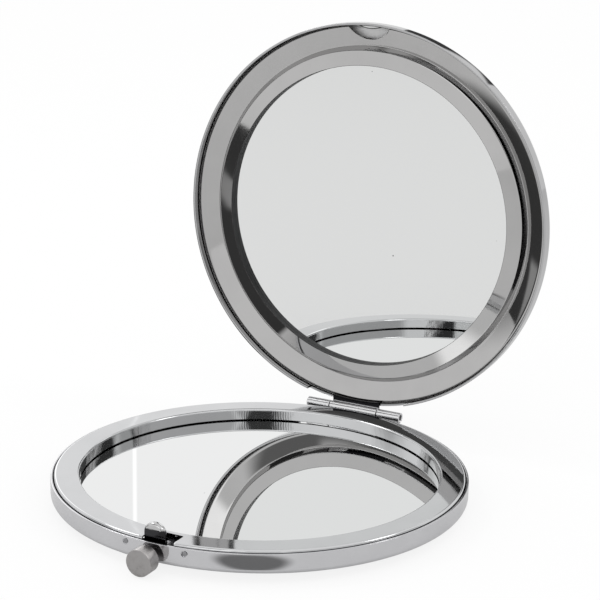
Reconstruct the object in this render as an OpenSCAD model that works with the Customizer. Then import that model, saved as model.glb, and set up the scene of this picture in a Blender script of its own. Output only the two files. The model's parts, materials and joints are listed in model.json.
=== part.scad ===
// Round pocket mirror in a hinged metal case, shown open, with a push button latch.
// Millimetres. The base rests on z = 0, the button faces -Y and the hinge lies along X at +Y.
// The lid is drawn shut on the base and then swung open about the hinge pin.

/* [Case] */
// Outer diameter of both halves of the case
case_d = 70; // [64:0.5:90]
// Thickness of the case's sheet metal
sheet_t = 0.4; // [0.3:0.05:0.45]
// Height of the base's rim over the table
base_h = 4.8; // [4.7:0.1:7]
// Rise of the base's domed bottom, from its flat middle to its corner
base_dome = 1.47; // [1.2:0.05:1.5]
// Outer radius of the base's bottom corner
base_corner_r = 0.8; // [0.6:0.05:0.9]
// Height of the lid from its rim to the flat middle of its back
lid_h = 4.75; // [4.6:0.05:7]
// Rise of the lid's domed back
lid_dome = 1.3; // [0.8:0.05:1.4]
// Outer radius of the corner of the lid's back
lid_corner_r = 1.55; // [1.2:0.05:1.7]
// Diameter of the flat middle of the bottom, which the base rests on
base_land_d = 48; // [40:1:52]
// Diameter of the flat middle of the lid's back
lid_land_d = 32; // [31:1:44]
// Gap between the two rims when the case is shut
rim_gap = 0.15; // [0.1:0.05:0.3]

/* [Bezels] */
// Dark seam between a bezel's edge and the case wall
seam_w = 0.25; // [0.2:0.05:0.35]
// Thickness of the base bezel
base_bezel_t = 0.3; // [0.2:0.05:0.35]
// Height of the base bezel's flange over the rim
flange_proud = 0.4; // [0.2:0.05:0.5]
// Width of the base bezel's flange
base_flange_w = 4.15; // [4:0.05:6]
// Radius of the rounded edges of the base bezel
base_edge_r = 0.4; // [0.36:0.02:0.5]
// Thickness of the lid bezel
lid_bezel_t = 0.25; // [0.2:0.05:0.3]
// Depth of the lid bezel's outer edge behind the lid's rim
lid_flange_depth = 1.35; // [1.2:0.05:1.45]
// Width of the sloping flange of the lid bezel
lid_flange_w = 3.55; // [3.4:0.05:5]
// Depth of the foot of the raised ring behind the lid's rim
foot_depth = 2.6; // [2.1:0.05:2.7]
// Width that the ring's outer wall takes as it rises
ring_wall_w = 0.8; // [0.6:0.05:1]
// Depth of the raised ring's outer edge behind the lid's rim
ring_depth = 1.7; // [1.5:0.05:1.75]
// Width of the raised ring's face
ring_w = 2.6; // [2:0.05:3]
// Depth of the edge of the lid's mirror opening behind the lid's rim
hole_depth = 1.2; // [1:0.05:1.4]
// Radius of the rounded edges of the lid bezel
lid_edge_r = 0.3; // [0.3:0.02:0.36]

/* [Mirrors] */
// Depth of the base mirror under its bezel's flange
base_glass_depth = 2.2; // [2:0.05:2.3]
// Thickness of the base mirror
base_glass_t = 0.9; // [0.7:0.05:1]
// Width of base mirror that lies behind the bezel
base_glass_lap = 0.6; // [0.4:0.05:0.7]
// Depth of the lid mirror behind the lid's rim
lid_glass_depth = 2.3; // [2.2:0.05:2.4]
// Thickness of the lid mirror
lid_glass_t = 0.7; // [0.5:0.05:0.8]
// Width of lid mirror that lies behind the bezel
lid_glass_lap = 2; // [1:0.1:2.1]
// Diameter of the foam pads behind the mirrors
pad_d = 30; // [16:1:31]

/* [Hinge] */
// Angle between the open lid and the base
lid_open = 91; // [0:1:180]
// Distance of the hinge pin's centre from the case wall
hinge_out = 0.9; // [0.85:0.05:1.1]
// Outer diameter of the knuckles
knuckle_d = 1.9; // [1.7:0.05:1.95]
// Length of the three knuckles together
hinge_l = 18.8; // [16:0.2:22]
// Length of the middle knuckle
middle_l = 9.4; // [6:0.1:12]
// Gap between two knuckles
knuckle_gap = 0.12; // [0.1:0.02:0.2]
// Diameter of the hinge pin
pin_d = 1; // [0.8:0.05:1.1]
// Running clearance round the pin
pin_play = 0.05; // [0.03:0.01:0.09]
// How far the pin's ends lie inside the outer knuckles
pin_recess = 0.25; // [0.1:0.05:0.5]
// Thickness of the hinge leaves
leaf_t = 0.3; // [0.25:0.05:0.3]
// Clearance between the knuckles and the notches in the two rims
notch_play = 0.08; // [0.05:0.01:0.12]
// Clearance at each end of the hinge in its notch
notch_end_play = 0.4; // [0.2:0.05:0.8]

/* [Latch] */
// Diameter of the push button
button_d = 4.4; // [3.8:0.1:4.6]
// Length of the button in front of its stem
button_l = 2.5; // [1.5:0.1:4]
// Radius of the button's rounded edges
button_edge_r = 0.12; // [0.05:0.01:0.3]
// Height of the button's axis over the table
button_z = 2.5; // [2.45:0.05:2.8]
// Distance that the button travels
button_travel = 0.65; // [0.6:0.05:0.7]
// Clearance left behind the button when it is pressed home
button_play = 0.1; // [0.05:0.05:0.3]
// Diameter of the button's stem
stem_d = 1; // [0.8:0.05:1]
// Running clearance round the stem
stem_play = 0.08; // [0.03:0.01:0.09]
// Width of the latch hook
hook_w = 3.8; // [3.4:0.1:4]
// Distance of the hook's middle from the stem's axis
hook_x = 0.25; // [0:0.05:0.3]
// Thickness of the hook's plate
hook_t = 0.6; // [0.5:0.05:0.65]
// Distance of the hook's plate from the inside of the case wall
hook_setback = 0.8; // [0.75:0.05:0.85]
// How far the hook's nose stands out from its plate
nose_out = 0.55; // [0.45:0.05:0.6]
// Height of the nose's holding edge over the base's rim
nose_rise = 1.9; // [1.85:0.05:2]
// Height of the top of the hook over the base's rim
hook_rise = 2.9; // [2.6:0.05:2.95]
// Width of the hook's slot in the base bezel
slot_w = 5.6; // [5.4:0.1:6.2]
// Distance of the slot's middle from the stem's axis
slot_x = 1.05; // [0.9:0.05:1.1]
// Clearance behind the pressed hook in its slot
slot_play = 1.35; // [0.3:0.05:1.4]
// Width of the ledge that the hook holds
catch_w = 4.94; // [3:0.1:5]
// How far the ledge stands out from the inside of the lid's wall
catch_reach = 0.65; // [0.6:0.02:0.7]
// Thickness of the ledge
catch_t = 0.5; // [0.35:0.05:0.6]
// Height of the ledge's inner face under the hook's nose when shut
catch_play = 0.2; // [0.1:0.05:0.3]
// Radius of the half-round opening in the lid bezel
mouth_r = 4.8; // [4.5:0.1:6]
// Distance of the half-round opening from the middle, to the left
mouth_x = 0.5; // [0:0.05:0.5]
// How far the half-round opening reaches in from the lid's outer edge
mouth_reach = 3.1; // [2.9:0.05:3.3]
// Distance of the guide's two rivets from the guide's middle
rivet_x = 5.2; // [4.2:0.05:5.6]
// Depth of the rivets under the base's rim
rivet_drop = 0.85; // [0.8:0.05:1.4]
// Diameter of the rivets' shanks
rivet_d = 0.7; // [0.5:0.05:0.8]
// Width of the guide that is riveted to the wall
guide_w = 13; // [12.6:0.1:14]
// Distance of the guide's middle from the stem's axis
guide_x = 0.7; // [0.4:0.05:0.8]
// Thickness of the guide's sheet
guide_t = 0.35; // [0.25:0.05:0.4]
// Length of the latch springs in the guide
spring_l = 1.65; // [1.4:0.05:1.7]
// Outer diameter of the latch springs
spring_d = 1.2; // [0.9:0.05:1.3]
// Thickness of the springs' wire
wire_t = 0.25; // [0.15:0.01:0.3]

/* [Hidden] */
$fn = 96;
// Facets of a large round that only a small piece shows a stretch of
fine_fn = 720;

// Overrun of every cut past the faces that it goes through
over = 1;
// Steps in each rounded corner, in the dome of each half and in the lid's dished flange
arc_steps = 6;
dome_steps = 10;
dish_steps = 5;

case_r = case_d / 2;
wall_in = case_r - sheet_t;
bezel_r = wall_in - seam_w;

// Heights in the base
flange_top = base_h + flange_proud;
base_glass_z = flange_top - base_glass_depth;
recess_r = bezel_r - base_flange_w;

// The lid's own heights are depths behind its rim, and its rim lies here when it is shut
lid_z = base_h + rim_gap;
foot_r = bezel_r - lid_flange_w;
ring_r = foot_r - ring_wall_w;
hole_r = ring_r - ring_w;
// How steeply the lid's flange sets off from its edge, as a share of its mean slope
dish_share = 0.6;
// How far a skirt stops short of the sheet that it stands on
skirt_play = 0.05;

// Hinge
hinge_y = case_r + hinge_out;
hinge_z = base_h + rim_gap / 2;
outer_l = (hinge_l - middle_l) / 2 - knuckle_gap;
knuckle_r = knuckle_d / 2;
notch_w = hinge_l + 2 * notch_end_play;
notch_half_h = knuckle_r + notch_play;
leaf_r = wall_in - leaf_t;
// Height of the part of a leaf that lies against the wall
leaf_h = 1.3;
// Gap at each side of the lid's leaf in the bezel's edge, which is cut back there
leaf_play = 0.15;

// Latch
hook_y = -(wall_in - hook_setback);
hook_back_y = hook_y + hook_t;
nose_y = hook_y - nose_out;
nose_z = base_h + nose_rise;
hook_top_z = base_h + hook_rise;
// How far the hook's plate reaches under the button's axis
hook_drop = 0.45;
hook_low_z = button_z - hook_drop;
slot_y = hook_back_y + button_travel + slot_play;
catch_y = -(wall_in - catch_reach);
catch_depth = nose_z - catch_play - catch_t - lid_z;
// Thickness and height of the foot that holds the ledge to the lid's wall
catch_foot_t = 0.12;
catch_foot_h = 0.35;
mouth_y = -(case_r - mouth_reach) - mouth_r;
guide_back_y = hook_back_y + spring_l;
guide_low_z = button_z;
guide_top_z = base_h - sheet_t;
// Clearance at each side of the hook in its guide
guide_play = 0.12;
guide_in_x = hook_w / 2 + guide_play;
// Clearance between the guide and the bezel's cut skirt
guide_gap = 0.3;
rivet_z = base_h - rivet_drop;
rivet_head_r = 0.45;
rivet_head_t = 0.15;
rivet_play = 0.02;
// Depths of the head and of the closed end of a rivet at x, counted from the wall's foremost line
function rivet_seat(x) = case_r - leg(case_r, x) + rivet_head_t;
function rivet_end(x) = case_r - leg(wall_in - guide_t, abs(x) + rivet_head_r);
// Places of the two springs, at each side of the hook's middle and over the stem, and their
// clearance to the hook
spring_x = 1.25;
spring_rise = 1.1;
spring_z = button_z + spring_rise;
spring_gap = 0.05;
// Tenon at the end of the stem, its washer and its peened end
tenon_d = 0.7;
tenon_play = 0.02;
washer_d = 1.15;
washer_t = 0.15;
peen_d = 1;
peen_t = 0.15;
button_back_y = -(case_r + button_travel + button_play);
button_face_y = button_back_y - button_l;

// Vectors and outlines
function unit(v) = v / norm(v);
function turned(v, a) = [v[0] * cos(a) - v[1] * sin(a), v[0] * sin(a) + v[1] * cos(a)];
function arc(centre, r, from, to, steps) =
    [for (i = [0 : steps]) centre + turned([r, 0], from + (to - from) * i / steps)];
function reversed(list) = [for (i = [len(list) - 1 : -1 : 0]) list[i]];

// Points of a corner c between a and b, rounded to radius r
function corner(a, c, b, r) =
    let(u = unit(a - c), v = unit(b - c), half = acos(u * v) / 2,
        centre = c + unit(u + v) * r / sin(half),
        start = c + u * r / tan(half) - centre,
        end = c + v * r / tan(half) - centre,
        way = sign(start[0] * end[1] - start[1] * end[0]),
        sweep = way * (180 - 2 * half))
    [for (i = [0 : arc_steps]) centre + turned(start, sweep * i / arc_steps)];

// A path of [radius, height, corner radius] points, with its corners rounded
function rounded(path) =
    [for (i = [0 : len(path) - 1])
        let(p = [path[i][0], path[i][1]])
        each i == 0 || i == len(path) - 1 || path[i][2] == 0 ? [p]
            : corner([path[i - 1][0], path[i - 1][1]], p, [path[i + 1][0], path[i + 1][1]], path[i][2])];

// A path moved sideways by t, to its right where t is positive
function normal(p, q) = let(d = unit(q - p)) [d[1], -d[0]];
function moved(path, t) =
    [for (i = [0 : len(path) - 1])
        let(a = normal(path[max(i - 1, 0)], path[max(i, 1)]),
            b = i < len(path) - 1 ? normal(path[i], path[i + 1]) : a)
        path[i] + t * (a + b) / (1 + a * b)];

// Sheet metal of thickness t, turned round the Z axis along a path
module turned_sheet(path, t) {
    rotate_extrude()
        polygon(concat(path, reversed(moved(path, t))));
}

// Half of the case with its domed bottom on z = 0 and its rim at height h. The dome rises
// from a flat middle of radius land_r and runs smoothly into the corner.
function cup_bend(land_r, dome, corner_r) =
    let(dx = case_r - corner_r - land_r, zc = dome + corner_r)
    (dx * dx + zc * zc - corner_r * corner_r) / (2 * dome);
function cup_path(h, land_r, dome, corner_r, inset) =
    let(bend = cup_bend(land_r, dome, corner_r), zc = dome + corner_r,
        tilt = atan2(case_r - corner_r - land_r, bend - zc))
    concat([[0, inset]],
        arc([land_r, bend], bend - inset, -90, -90 + tilt, dome_steps),
        arc([case_r - corner_r, zc], corner_r - inset, -90 + tilt, 0, arc_steps),
        [[case_r - inset, h]]);
module cup(h, land_r, dome, corner_r) {
    outside = cup_path(h, land_r, dome, corner_r, 0);
    inside = cup_path(h, land_r, dome, corner_r, sheet_t);
    rotate_extrude()
        polygon(concat(outside, reversed(inside)));
}
// Height of the sheet's inner face at radius r, and on the corner's round where r reaches it
function leg(long, short) = sqrt(max(long * long - short * short, 0));
function cup_floor(r, land_r, dome, corner_r) =
    let(bend = cup_bend(land_r, dome, corner_r), corner_x = case_r - corner_r)
    r > corner_x ? dome + corner_r - leg(corner_r - sheet_t, r - corner_x)
        : bend - leg(bend - sheet_t, r - land_r);

// A round bar along X or Y, from its start at the given place
module bar_x(r, l, place) {
    translate(place)
        rotate([0, 90, 0])
            cylinder(r = r, h = l);
}
module bar_y(r, l, place) {
    translate(place)
        rotate([-90, 0, 0])
            cylinder(r = r, h = l);
}
// A box whose middle is at x
module block(w, y0, y1, z0, z1, x = 0) {
    translate([x - w / 2, y0, z0])
        cube([w, y1 - y0, z1 - z0]);
}
// A band of the case's round between two radii and two heights, as wide as w, with its middle
// at x, at the front or back
module band(w, r_in, r_out, z0, z1, front, x = 0) {
    intersection() {
        difference() {
            translate([0, 0, z0])
                cylinder(r = r_out, h = z1 - z0);
            translate([0, 0, z0 - over])
                cylinder(r = r_in, h = z1 - z0 + 2 * over);
        }
        if (front) block(w, -case_r - over, 0, z0 - over, z1 + over, x);
        else block(w, 0, case_r + over, z0 - over, z1 + over, x);
    }
}

// Round hole from the front of the case for a rivet at x, to the given depth
module rivet_hole(x, r, depth) {
    bar_y(r, depth + over, [x, -case_r - over, rivet_z]);
}

// The lid, drawn shut, swung open about the hinge pin
module opened() {
    translate([0, hinge_y, hinge_z])
        rotate([-lid_open, 0, 0])
            translate([0, -hinge_y, -hinge_z])
                children();
}

// Base: shell with the hinge notch, the stem's hole and the rivets' holes
module base_shell() {
    color("silver")
        difference() {
            cup(base_h, base_land_d / 2, base_dome, base_corner_r);
            block(notch_w, 0, case_r + over, hinge_z - notch_half_h, base_h + over);
            bar_y(stem_d / 2 + stem_play, sheet_t + 2 * over, [0, -case_r - over, button_z]);
            for (x = [guide_x - rivet_x, guide_x + rivet_x]) {
                rivet_hole(x, rivet_d / 2 + rivet_play, rivet_end(x));
                rivet_hole(x, rivet_head_r + rivet_play, rivet_seat(x));
            }
        }
}

module base_bezel() {
    skirt_z = cup_floor(bezel_r, base_land_d / 2, base_dome, base_corner_r) + skirt_play;
    path = rounded([
        [recess_r, base_glass_z, 0],
        [recess_r, flange_top, base_edge_r],
        [bezel_r, flange_top, base_edge_r],
        [bezel_r, skirt_z, 0]]);
    color("gainsboro")
        difference() {
            turned_sheet(path, base_bezel_t);
            block(slot_w, -case_r, slot_y, skirt_z - over, flange_top + over, slot_x);
            block(guide_w + 2 * guide_gap, -case_r, -recess_r - 2 * base_bezel_t - base_glass_lap,
                skirt_z - over, flange_top - base_edge_r - base_bezel_t / 2, guide_x);
            block(notch_w, recess_r + base_glass_lap, case_r, skirt_z - over,
                flange_top - base_edge_r - base_bezel_t / 2);
        }
}

module base_mirror() {
    color("white")
        translate([0, 0, base_glass_z - base_glass_t])
            cylinder(r = recess_r + base_glass_lap, h = base_glass_t);
}

module base_pad() {
    color("dimgray")
        translate([0, 0, sheet_t])
            cylinder(d = pad_d, h = base_glass_z - base_glass_t - sheet_t);
}

// Knuckle, and the plate that runs from it to the wall, below the pin or above it
module knuckle(x0, l) {
    bar_x(knuckle_r, l, [x0, hinge_y, hinge_z]);
}
module leaf_plate(x0, l, z0) {
    difference() {
        translate([x0, leaf_r - case_r / 2, z0])
            cube([l, hinge_y - leaf_r + case_r / 2, leaf_t]);
        translate([0, 0, z0 - over])
            cylinder(r = leaf_r, h = leaf_t + 2 * over);
    }
}
module base_hinge_leaf() {
    plate_z = hinge_z - knuckle_r;
    color("silver")
        difference() {
            union() {
                for (x0 = [-hinge_l / 2, hinge_l / 2 - outer_l]) {
                    knuckle(x0, outer_l);
                    leaf_plate(x0, outer_l, plate_z);
                }
                band(hinge_l, leaf_r, wall_in, plate_z + leaf_t - leaf_h, plate_z + leaf_t, false);
            }
            bar_x(pin_d / 2 + pin_play, hinge_l + 2 * over, [-hinge_l / 2 - over, hinge_y, hinge_z]);
        }
}

module hinge_pin() {
    color("gray")
        bar_x(pin_d / 2, hinge_l - 2 * pin_recess, [pin_recess - hinge_l / 2, hinge_y, hinge_z]);
}

// Latch: guide behind the wall, with cheeks at the hook's sides and a back for the springs
module latch_guide() {
    color("darkgray")
        difference() {
            union() {
                band(guide_w, wall_in - guide_t, wall_in, guide_low_z, guide_top_z, true, guide_x);
                intersection() {
                    block(2 * (guide_in_x + guide_t), -case_r, guide_back_y + guide_t,
                        guide_low_z, guide_top_z, hook_x);
                    translate([0, 0, guide_low_z])
                        cylinder(r = wall_in - guide_t / 2, h = guide_top_z - guide_low_z);
                }
            }
            block(2 * guide_in_x, -case_r, guide_back_y, guide_low_z - over, guide_top_z + over, hook_x);
            for (x = [guide_x - rivet_x, guide_x + rivet_x])
                rivet_hole(x, rivet_d / 2 + rivet_play, rivet_end(x) + over);
        }
}

// Rivets with flush round heads outside and closed ends behind the guide
function rivet_path(x) = [
    [0, 0],
    [rivet_head_r, 0],
    [rivet_head_r, rivet_seat(x)],
    [rivet_d / 2, rivet_seat(x)],
    [rivet_d / 2, rivet_end(x)],
    [rivet_head_r, rivet_end(x)],
    [rivet_head_r, rivet_end(x) + rivet_head_t],
    [0, rivet_end(x) + rivet_head_t]];
module latch_rivets() {
    color("dimgray")
        for (x = [guide_x - rivet_x, guide_x + rivet_x])
            intersection() {
                translate([x, -case_r, rivet_z])
                    rotate([-90, 0, 0])
                        rotate_extrude()
                            polygon(rivet_path(x));
                cylinder(r = case_r, h = base_h, $fn = fine_fn);
            }
}

module latch_springs() {
    color("dimgray")
        for (x = [hook_x - spring_x, hook_x + spring_x])
            difference() {
                bar_y(spring_d / 2, spring_l - spring_gap, [x, hook_back_y + spring_gap, spring_z]);
                bar_y(spring_d / 2 - wire_t, spring_l + 2 * over, [x, hook_back_y - over, spring_z]);
            }
}

// Push button with its stem, the tenon through the hook and the tenon's peened end
module push_button() {
    button_r = button_d / 2;
    stem_z = hook_y - button_face_y;
    washer_z = stem_z + hook_t;
    path = concat(
        [[0, 0]],
        arc([button_r - button_edge_r, button_edge_r], button_edge_r, -90, 0, arc_steps),
        arc([button_r - button_edge_r, button_l - button_edge_r], button_edge_r, 0, 90, arc_steps),
        [[stem_d / 2, button_l],
        [stem_d / 2, stem_z],
        [tenon_d / 2, stem_z],
        [tenon_d / 2, washer_z + washer_t],
        [peen_d / 2, washer_z + washer_t],
        [peen_d / 2, washer_z + washer_t + peen_t],
        [0, washer_z + washer_t + peen_t]]);
    color("rosybrown")
        translate([0, button_face_y, button_z])
            rotate([-90, 0, 0])
                rotate_extrude()
                    polygon(path);
}

module stem_washer() {
    color("gray")
        difference() {
            bar_y(washer_d / 2, washer_t, [0, hook_back_y, button_z]);
            bar_y(tenon_d / 2 + tenon_play, washer_t + 2 * over, [0, hook_back_y - over, button_z]);
        }
}

// Hook: a round-topped tab whose head is a ramped nose that stands out to the front
module latch_hook() {
    head_r = hook_top_z - nose_z;
    tab_z = hook_top_z - hook_w / 2;
    side_path = concat(
        [[hook_back_y, hook_low_z],
        [hook_y, hook_low_z],
        [hook_y, nose_z],
        [nose_y, nose_z]],
        arc([nose_y + head_r, nose_z], head_r, 180, 90, 2 * arc_steps),
        [[hook_back_y, hook_top_z]]);
    color("lightgray")
        difference() {
            intersection() {
                translate([hook_x - hook_w / 2, 0, 0])
                    rotate([90, 0, 90])
                        linear_extrude(height = hook_w)
                            polygon(side_path);
                union() {
                    bar_y(hook_w / 2, hook_t + nose_out + 2 * over, [hook_x, nose_y - over, tab_z]);
                    block(hook_w, nose_y - over, hook_back_y + over, hook_low_z - over, tab_z, hook_x);
                }
            }
            bar_y(tenon_d / 2 + tenon_play, hook_t + 2 * over, [0, hook_y - over, button_z]);
        }
}

// Lid: shell with the hinge notch
module lid_shell() {
    color("silver")
        opened()
            difference() {
                translate([0, 0, lid_z + lid_h])
                    mirror([0, 0, 1])
                        cup(lid_h, lid_land_d / 2, lid_dome, lid_corner_r);
                block(notch_w, 0, case_r + over, lid_z - over, hinge_z + notch_half_h);
            }
}

// Depth of the lid's sloping flange at a share t of the way from its edge to the ring's foot
function dish(t) =
    lid_flange_depth + (foot_depth - lid_flange_depth) * (dish_share * t + (1 - dish_share) * t * t);
module lid_bezel() {
    skirt_depth = lid_h - cup_floor(bezel_r, lid_land_d / 2, lid_dome, lid_corner_r) - skirt_play;
    slope = [for (i = [1 : dish_steps - 1])
        [foot_r + lid_flange_w * i / dish_steps, dish(1 - i / dish_steps), 0]];
    path = rounded(concat(
        [[hole_r, lid_glass_depth, 0],
        [hole_r, hole_depth, lid_edge_r],
        [ring_r, ring_depth, lid_edge_r],
        [foot_r, foot_depth, 0]],
        slope,
        [[bezel_r, lid_flange_depth, lid_edge_r],
        [bezel_r, skirt_depth, 0]]));
    color("gainsboro")
        opened()
            translate([0, 0, lid_z])
                difference() {
                    turned_sheet(path, -lid_bezel_t);
                    translate([-mouth_x, mouth_y, -over])
                        cylinder(r = mouth_r, h = lid_h + 2 * over);
                    band(middle_l + 2 * leaf_play, bezel_r - lid_bezel_t - skirt_play, case_r,
                        0, lid_h, false);
                }
}

module lid_mirror() {
    color("white")
        opened()
            translate([0, 0, lid_z + lid_glass_depth])
                cylinder(r = hole_r + lid_glass_lap, h = lid_glass_t);
}

module lid_pad() {
    pad_z = lid_glass_depth + lid_glass_t;
    color("dimgray")
        opened()
            translate([0, 0, lid_z + pad_z])
                cylinder(d = pad_d, h = lid_h - sheet_t - pad_z);
}

module lid_hinge_leaf() {
    plate_z = hinge_z + knuckle_r - leaf_t;
    color("silver")
        opened()
            difference() {
                union() {
                    knuckle(-middle_l / 2, middle_l);
                    leaf_plate(-middle_l / 2, middle_l, plate_z);
                    band(middle_l, leaf_r, wall_in, plate_z, plate_z + leaf_h, false);
                }
                bar_x(pin_d / 2 + pin_play, middle_l + 2 * over, [-middle_l / 2 - over, hinge_y, hinge_z]);
            }
}

// Ledge with a bowed edge, on a foot that lies against the inside of the lid's wall
module lid_catch() {
    sag = catch_reach - wall_in + leg(wall_in, catch_w / 2);
    bow_r = (catch_w * catch_w / 4 + sag * sag) / (2 * sag);
    color("lightgray")
        opened()
            translate([0, 0, lid_z + catch_depth]) {
                intersection() {
                    cylinder(r = wall_in, h = catch_t, $fn = fine_fn);
                    translate([0, catch_y - bow_r, 0])
                        cylinder(r = bow_r, h = catch_t);
                }
                band(catch_w, wall_in - catch_foot_t, wall_in, 0, catch_t + catch_foot_h, true);
            }
}

base_shell();
base_bezel();
base_mirror();
base_pad();
base_hinge_leaf();
hinge_pin();
latch_guide();
latch_rivets();
latch_springs();
push_button();
stem_washer();
latch_hook();
lid_shell();
lid_bezel();
lid_mirror();
lid_pad();
lid_hinge_leaf();
lid_catch();
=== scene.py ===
# %% [markdown]
# # A round pocket mirror in a hinged metal case
# The case stands open. Its base lies on the table with a mirror upwards, and its lid stands
# upright behind it with a second mirror. Both halves are drawn sheet with a pressed ring that
# holds the glass, all in polished nickel plate, and a satin push button works the latch. The
# construction comes packed as a fixed frame, in metres: the table is at height 0, the button
# points to the front, along -Y, and the hinge lies along X at the back. This lesson turns the
# sheet metal again as smooth surfaces in that frame, and gives every piece its finish.

# %% Load the frame
import json
import math

import bpy
from mathutils import Matrix, Vector


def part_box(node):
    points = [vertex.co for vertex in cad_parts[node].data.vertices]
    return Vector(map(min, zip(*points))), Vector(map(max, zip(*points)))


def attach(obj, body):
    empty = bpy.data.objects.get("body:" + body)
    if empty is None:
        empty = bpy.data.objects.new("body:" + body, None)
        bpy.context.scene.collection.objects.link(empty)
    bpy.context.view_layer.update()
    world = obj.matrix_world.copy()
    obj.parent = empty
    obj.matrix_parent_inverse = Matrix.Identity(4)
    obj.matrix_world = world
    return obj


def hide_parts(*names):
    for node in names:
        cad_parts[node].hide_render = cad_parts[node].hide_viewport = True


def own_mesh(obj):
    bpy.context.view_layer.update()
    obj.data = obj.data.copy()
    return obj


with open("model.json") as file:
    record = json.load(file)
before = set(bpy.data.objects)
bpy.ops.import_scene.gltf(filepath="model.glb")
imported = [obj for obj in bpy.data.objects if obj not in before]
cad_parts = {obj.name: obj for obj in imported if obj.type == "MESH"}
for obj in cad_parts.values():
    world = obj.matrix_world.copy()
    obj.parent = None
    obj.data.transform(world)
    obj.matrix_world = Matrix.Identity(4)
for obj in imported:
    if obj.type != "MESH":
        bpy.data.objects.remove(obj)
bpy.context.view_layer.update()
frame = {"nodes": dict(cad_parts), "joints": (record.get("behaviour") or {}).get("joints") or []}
print("nodes:", ", ".join(sorted(frame["nodes"])))

# %% [markdown]
# ## Sizes
# Every piece has to sit where the construction says, so the driving sizes are read from the
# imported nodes: the radius of the case, the height of the rim, the place of the glass. Only what
# a box can't tell, such as a sheet's thickness or the radius of a rounded edge, is written here.

# %% Sizes of the case
mm = 0.001
case_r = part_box("base_shell")[1].x
base_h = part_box("base_shell")[1].z
sheet_t = 0.4 * mm
wall_in = case_r - sheet_t
seam_w = 0.17 * mm
bezel_r = wall_in - seam_w
base_glass_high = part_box("base_mirror")[1]
recess_r = base_glass_high.x - 0.6 * mm
flange_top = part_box("base_bezel")[1].z
print(f"case radius {case_r / mm:.2f} mm, rim {base_h / mm:.2f} mm, recess {recess_r / mm:.2f} mm")

# %% Sizes of the hinge and the lid
joints = {joint["name"]: joint for joint in frame["joints"]}
hinge = Vector(joints["lid_hinge"]["pos_m"])
lid_open = joints["lid_hinge"]["range_deg"][1]
lid_z = 2 * hinge.z - base_h
lid_h = 4.75 * mm
knuckle_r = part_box("base_hinge_leaf")[1].y - hinge.y
hinge_l = 2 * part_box("base_hinge_leaf")[1].x
middle_l = 2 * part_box("lid_hinge_leaf")[1].x
notch_w = hinge_l + 0.8 * mm
notch_half_h = knuckle_r + 0.08 * mm
print(f"hinge {hinge_l / mm:.2f} mm long, lid open by {lid_open} degrees")

# %% [markdown]
# ## Camera
# The picture was taken from the front and a little to the right, from slightly above, with a
# long lens. The camera's place and angles were worked out from the outlines of the two halves.

# %% Camera
camera_place = Vector((0.1428, -0.2623, 0.1201))
camera_azimuth = math.radians(27.384)
camera_elevation = math.radians(15.951)
camera_roll = math.radians(1.085)
camera_data = bpy.data.cameras.new("camera")
camera_data.lens = 113.77
camera_data.clip_start = 0.01
camera_data.clip_end = 10.0
camera = bpy.data.objects.new("camera", camera_data)
bpy.context.scene.collection.objects.link(camera)
bpy.context.scene.camera = camera
camera.location = camera_place
camera_turn = (
    Matrix.Rotation(camera_azimuth, 4, "Z")
    @ Matrix.Rotation(math.pi / 2 - camera_elevation, 4, "X")
    @ Matrix.Rotation(camera_roll, 4, "Z")
)
camera.rotation_euler = camera_turn.to_euler()
print("camera at", [round(c, 3) for c in camera.location])

# %% [markdown]
# ## Turned sheet metal
# A drawn cup or a pressed ring is a round shape: one outline, turned about an axis. It could be
# spun from a drawn line, but extruding a ring of points gives even faces and keeps every circle
# exact. The ring is added at the outline's first point, then extruded, raised and scaled to each
# next point. The surface is one side of the sheet, and Solidify gives it the sheet's thickness.

# %% Helpers for outlines
round_steps = 256
corner_steps = 6


def arc(centre, radius, start, end, steps):
    """Points on a round, from one angle to another in degrees, as radius and height."""
    angles = [math.radians(start + (end - start) * step / steps) for step in range(steps + 1)]
    return [(centre[0] + radius * math.cos(a), centre[1] + radius * math.sin(a)) for a in angles]


def corner(before, point, after, radius):
    """A corner between two straight stretches, rounded to a radius."""
    before, point, after = Vector(before), Vector(point), Vector(after)
    u = (before - point).normalized()
    v = (after - point).normalized()
    half = u.angle(v) / 2
    centre = point + (u + v).normalized() * radius / math.sin(half)
    first = point + u * radius / math.tan(half) - centre
    last = point + v * radius / math.tan(half) - centre
    way = 1 if first.x * last.y > first.y * last.x else -1
    sweep = way * (math.pi - 2 * half)
    shares = [step / corner_steps for step in range(corner_steps + 1)]
    turns = [Matrix.Rotation(sweep * share, 2) for share in shares]
    return [tuple(centre + turn @ first) for turn in turns]


def rounded(path):
    """An outline of radius, height and corner radius, with its corners rounded."""
    points = [path[0][:2]]
    for before, point, after in zip(path, path[1:], path[2:]):
        if point[2]:
            points += corner(before[:2], point[:2], after[:2], point[2])
        else:
            points.append(point[:2])
    return points + [path[-1][:2]]


# %% Helpers to choose and name
tiny = 0.01 * mm


def only(piece):
    """Makes a piece the one that is selected and worked on."""
    bpy.ops.object.select_all(action="DESELECT")
    piece.select_set(True)
    bpy.context.view_layer.objects.active = piece


def named(piece, name):
    """Gives a piece and its mesh one name."""
    piece.name = name
    piece.data.name = name
    return piece


def bake_place():
    """Puts the place of the piece that is worked on into its mesh, and returns the piece."""
    bpy.ops.object.transform_apply(location=True, rotation=True, scale=True)
    return bpy.context.object


def on_mesh(piece, action, *operations):
    """Selects all or nothing of a piece, and then runs the operations in edit mode."""
    only(piece)
    bpy.ops.object.mode_set(mode="EDIT")
    bpy.ops.mesh.select_all(action=action)
    for operation in operations:
        operation()
    bpy.ops.object.mode_set(mode="OBJECT")


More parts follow.
